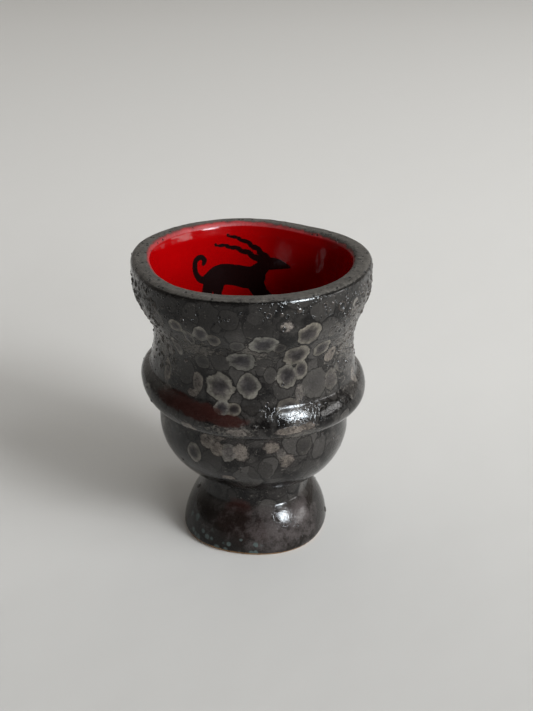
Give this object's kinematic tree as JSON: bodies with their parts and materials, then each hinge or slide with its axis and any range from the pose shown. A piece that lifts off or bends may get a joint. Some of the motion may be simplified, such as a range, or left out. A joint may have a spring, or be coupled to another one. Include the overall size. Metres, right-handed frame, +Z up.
{
  "type": "footed cup",
  "caption": "Hand-made stoneware footed cup: thick uneven rim, flared mouth, raised collar, round bowl and hollow foot; dark crystalline glaze outside, red glaze inside.",
  "frame": {"origin": "on the surface the cup stands on, under the middle of its outline seen from above", "axes": "+Z up out of the mouth; the picture looks along +Y, with +X to its right"},
  "size_m": [0.0844, 0.0862, 0.1091],
  "materials": {
    "dark_glaze": "glossy, near black with grey crystal spots and pits; red gloss glaze inside, matte rim, bare clay foot ring"
  },
  "bodies": {
    "root": {"cup": "dark_glaze"}
  },
  "joints": []
}
